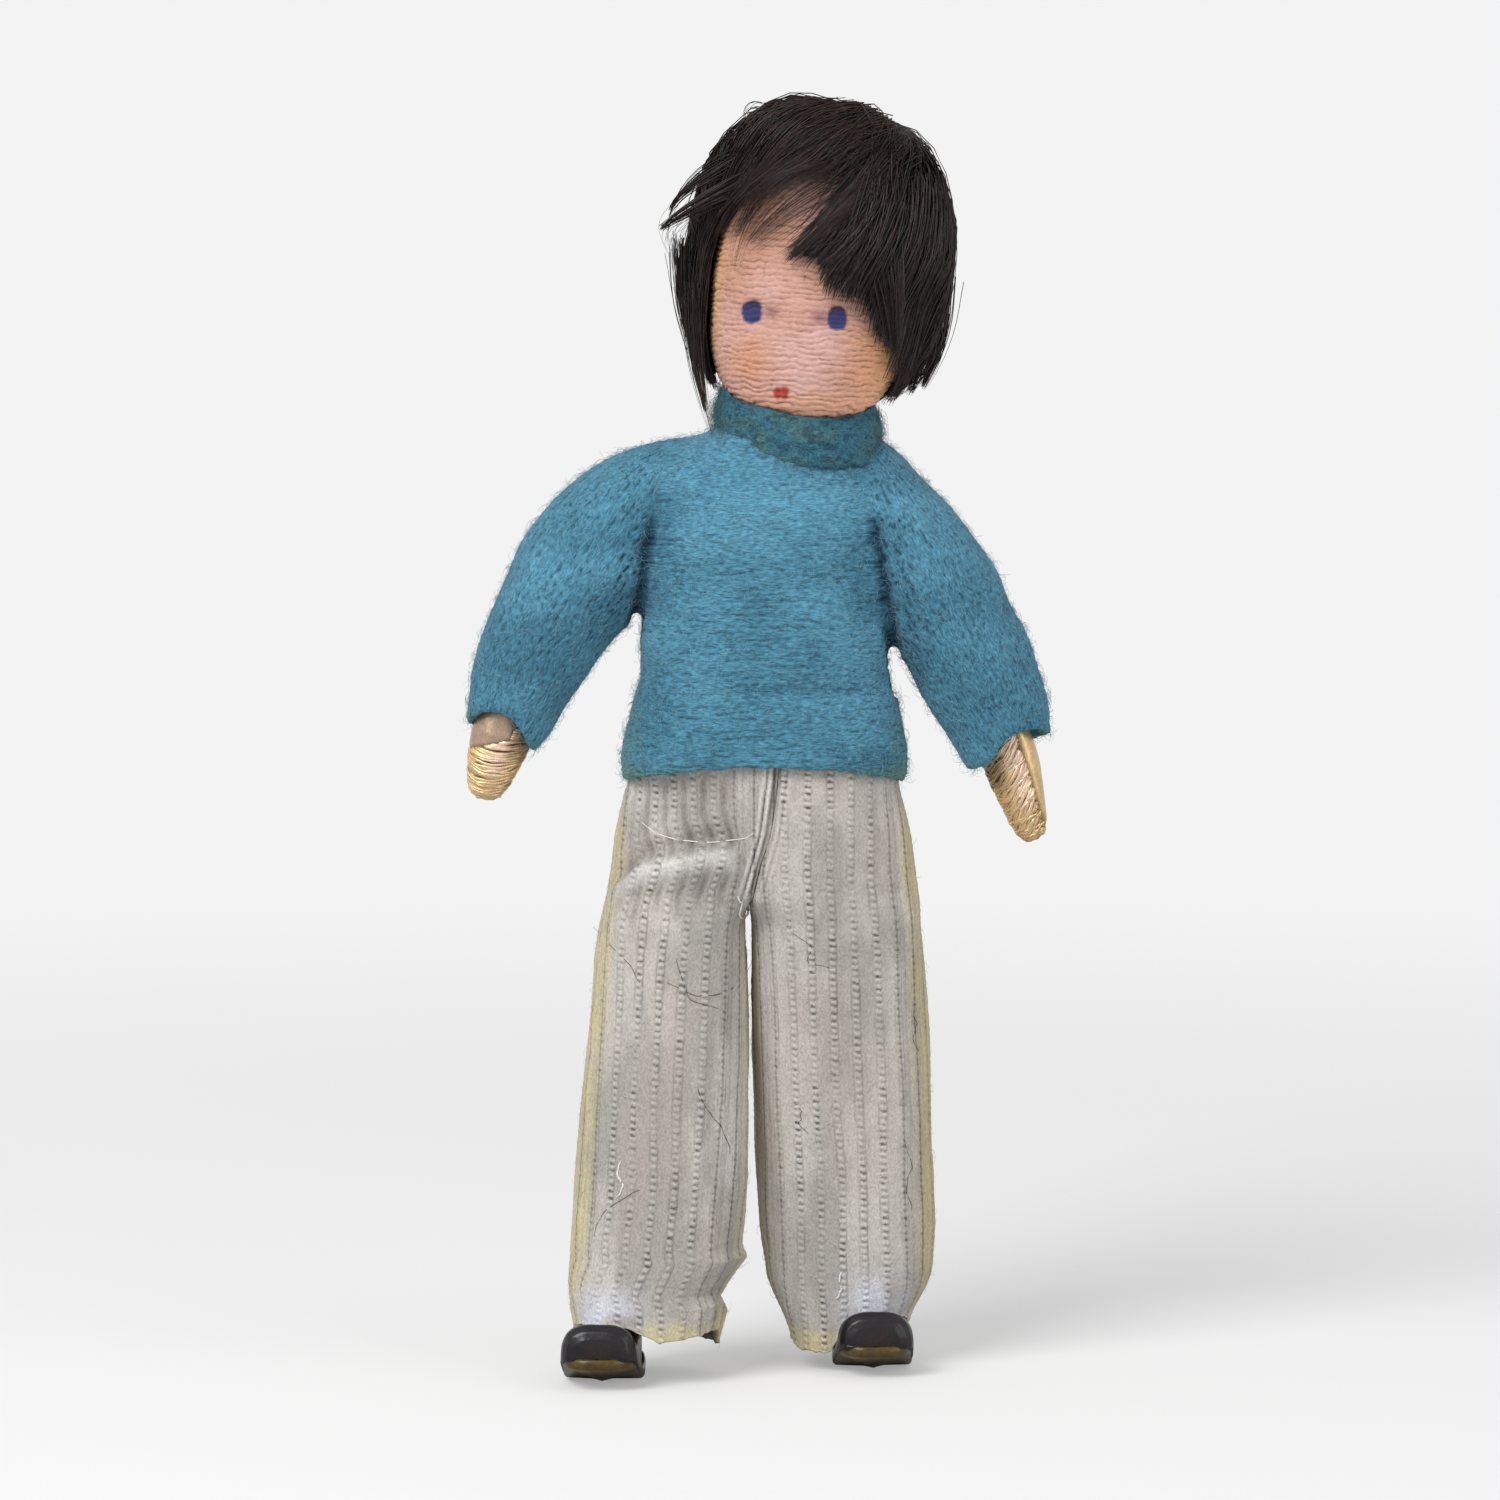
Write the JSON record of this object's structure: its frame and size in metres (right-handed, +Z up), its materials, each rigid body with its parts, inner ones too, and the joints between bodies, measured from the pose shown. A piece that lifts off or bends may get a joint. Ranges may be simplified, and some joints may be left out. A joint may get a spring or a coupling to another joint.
{
  "type": "bendy doll",
  "caption": "Soft bendable dollhouse doll: a wire armature padded with wadding, knitted sweater and trousers, covered head with short hair, wound hands and leather shoes.",
  "frame": {"origin": "on the floor under the middle of the standing doll, at the bottom centre of its bounding box", "axes": "+Z up from the soles to the crown; the doll faces -Y, and its own right hand is on the -X side"},
  "size_m": [0.0551, 0.0254, 0.1192],
  "materials": {
    "steel_wire": null,
    "wadding": null,
    "sweater_knit": null,
    "trouser_knit": null,
    "crepe_skin": null,
    "hair": null,
    "hand_thread": null,
    "shoe_leather": "satin",
    "sole_leather": null
  },
  "bodies": {
    "pelvis": {"pelvis_wire": "steel_wire", "pelvis_wadding": "wadding", "trouser_seat": "trouser_knit"},
    "torso": {"spine_wire": "steel_wire", "shoulder_wire": "steel_wire", "torso_wadding": "wadding", "sweater_body": "sweater_knit", "sweater_waist": "sweater_knit", "sweater_collar": "sweater_knit"},
    "neck": {"neck_wire": "steel_wire", "neck_wrap": "wadding"},
    "head": {"head_core": "wadding", "head_skin": "crepe_skin", "hair": "hair"},
    "shoulder_right": {"shoulder_fold_right": "sweater_knit"},
    "upper_arm_right": {"upper_arm_wire_right": "steel_wire", "upper_arm_wadding_right": "wadding", "upper_sleeve_right": "sweater_knit"},
    "forearm_right": {"forearm_wire_right": "steel_wire", "forearm_wadding_right": "wadding", "lower_sleeve_right": "sweater_knit", "elbow_fold_right": "sweater_knit"},
    "hand_right": {"hand_wire_right": "steel_wire", "hand_core_right": "wadding", "hand_winding_right": "hand_thread"},
    "hip_right": {"hip_fold_right": "trouser_knit"},
    "thigh_right": {"thigh_wire_right": "steel_wire", "thigh_wadding_right": "wadding", "trouser_thigh_right": "trouser_knit"},
    "shin_right": {"shin_wire_right": "steel_wire", "shin_wadding_right": "wadding", "trouser_shin_right": "trouser_knit", "knee_fold_right": "trouser_knit"},
    "foot_right": {"foot_wire_right": "steel_wire", "shoe_upper_right": "shoe_leather", "shoe_sole_right": "sole_leather", "shoe_heel_right": "sole_leather"},
    "shoulder_left": {"shoulder_fold_left": "sweater_knit"},
    "upper_arm_left": {"upper_arm_wire_left": "steel_wire", "upper_arm_wadding_left": "wadding", "upper_sleeve_left": "sweater_knit"},
    "forearm_left": {"forearm_wire_left": "steel_wire", "forearm_wadding_left": "wadding", "lower_sleeve_left": "sweater_knit", "elbow_fold_left": "sweater_knit"},
    "hand_left": {"hand_wire_left": "steel_wire", "hand_core_left": "wadding", "hand_winding_left": "hand_thread"},
    "hip_left": {"hip_fold_left": "trouser_knit"},
    "thigh_left": {"thigh_wire_left": "steel_wire", "thigh_wadding_left": "wadding", "trouser_thigh_left": "trouser_knit"},
    "shin_left": {"shin_wire_left": "steel_wire", "shin_wadding_left": "wadding", "trouser_shin_left": "trouser_knit", "knee_fold_left": "trouser_knit"},
    "foot_left": {"foot_wire_left": "steel_wire", "shoe_upper_left": "shoe_leather", "shoe_sole_left": "sole_leather", "shoe_heel_left": "sole_leather"}
  },
  "joints": [
    {"name": "waist_bend", "type": "hinge", "parent": "pelvis", "child": "torso", "pos_m": [0.0002, 0, 0.06], "axis": [1, 0, 0], "range_deg": [-15, 40], "deforming": ["sweater_waist"]},
    {"name": "neck_nod", "type": "hinge", "parent": "torso", "child": "neck", "pos_m": [0.0032, 0, 0.0855], "axis": [1, 0, 0], "range_deg": [-15, 18], "deforming": ["sweater_collar"]},
    {"name": "head_turn", "type": "hinge", "parent": "neck", "child": "head", "pos_m": [0.0032, 0, 0.0855], "axis": [0.1045, 0, 0.9945], "range_deg": [-60, 60]},
    {"name": "arm_swing_right", "type": "hinge", "parent": "torso", "child": "shoulder_right", "pos_m": [-0.011, 0, 0.0796], "axis": [-1, 0, 0], "range_deg": [-60, 120], "deforming": ["shoulder_fold_right"]},
    {"name": "arm_raise_right", "type": "hinge", "parent": "shoulder_right", "child": "upper_arm_right", "pos_m": [-0.011, 0, 0.0796], "axis": [0, 1, 0], "range_deg": [0, 80], "deforming": ["shoulder_fold_right"]},
    {"name": "elbow_right", "type": "hinge", "parent": "upper_arm_right", "child": "forearm_right", "pos_m": [-0.01839, 0, 0.07014], "axis": [-0.8387, 0, 0.5446], "range_deg": [0, 80], "deforming": ["elbow_fold_right"]},
    {"name": "wrist_right", "type": "hinge", "parent": "forearm_right", "child": "hand_right", "pos_m": [-0.02402, 0, 0.05955], "axis": [-0.8829, 0, 0.4695], "range_deg": [-20, 20]},
    {"name": "leg_swing_right", "type": "hinge", "parent": "pelvis", "child": "hip_right", "pos_m": [-0.0066, 0, 0.047], "axis": [-1, 0, 0], "range_deg": [-20, 90], "deforming": ["hip_fold_right"]},
    {"name": "leg_spread_right", "type": "hinge", "parent": "hip_right", "child": "thigh_right", "pos_m": [-0.0066, 0, 0.047], "axis": [0, 1, 0], "range_deg": [0, 25], "deforming": ["hip_fold_right"]},
    {"name": "knee_right", "type": "hinge", "parent": "thigh_right", "child": "shin_right", "pos_m": [-0.0089, -0.00175, 0.0265], "axis": [1, 0, 0], "range_deg": [0, 90], "deforming": ["knee_fold_right"]},
    {"name": "ankle_right", "type": "hinge", "parent": "shin_right", "child": "foot_right", "pos_m": [-0.0124, -0.0035, 0.0063], "axis": [-1, 0, 0], "range_deg": [-10, 10]},
    {"name": "arm_swing_left", "type": "hinge", "parent": "torso", "child": "shoulder_left", "pos_m": [0.0122, 0, 0.0787], "axis": [-1, 0, 0], "range_deg": [-60, 120], "deforming": ["shoulder_fold_left"]},
    {"name": "arm_raise_left", "type": "hinge", "parent": "shoulder_left", "child": "upper_arm_left", "pos_m": [0.0122, 0, 0.0787], "axis": [0, -1, 0], "range_deg": [0, 80], "deforming": ["shoulder_fold_left"]},
    {"name": "elbow_left", "type": "hinge", "parent": "upper_arm_left", "child": "forearm_left", "pos_m": [0.01838, 0, 0.06841], "axis": [-0.8788, 0, -0.4772], "range_deg": [0, 80], "deforming": ["elbow_fold_left"]},
    {"name": "wrist_left", "type": "hinge", "parent": "forearm_left", "child": "hand_left", "pos_m": [0.02364, 0, 0.05763], "axis": [-0.8988, 0, -0.4384], "range_deg": [-20, 20]},
    {"name": "leg_swing_left", "type": "hinge", "parent": "pelvis", "child": "hip_left", "pos_m": [0.007, 0, 0.047], "axis": [-1, 0, 0], "range_deg": [-20, 90], "deforming": ["hip_fold_left"]},
    {"name": "leg_spread_left", "type": "hinge", "parent": "hip_left", "child": "thigh_left", "pos_m": [0.007, 0, 0.047], "axis": [0, -1, 0], "range_deg": [0, 25], "deforming": ["hip_fold_left"]},
    {"name": "knee_left", "type": "hinge", "parent": "thigh_left", "child": "shin_left", "pos_m": [0.0077, 0.00175, 0.0265], "axis": [1, 0, 0], "range_deg": [0, 90], "deforming": ["knee_fold_left"]},
    {"name": "ankle_left", "type": "hinge", "parent": "shin_left", "child": "foot_left", "pos_m": [0.0095, 0.0035, 0.0063], "axis": [-1, 0, 0], "range_deg": [-10, 10]}
  ]
}
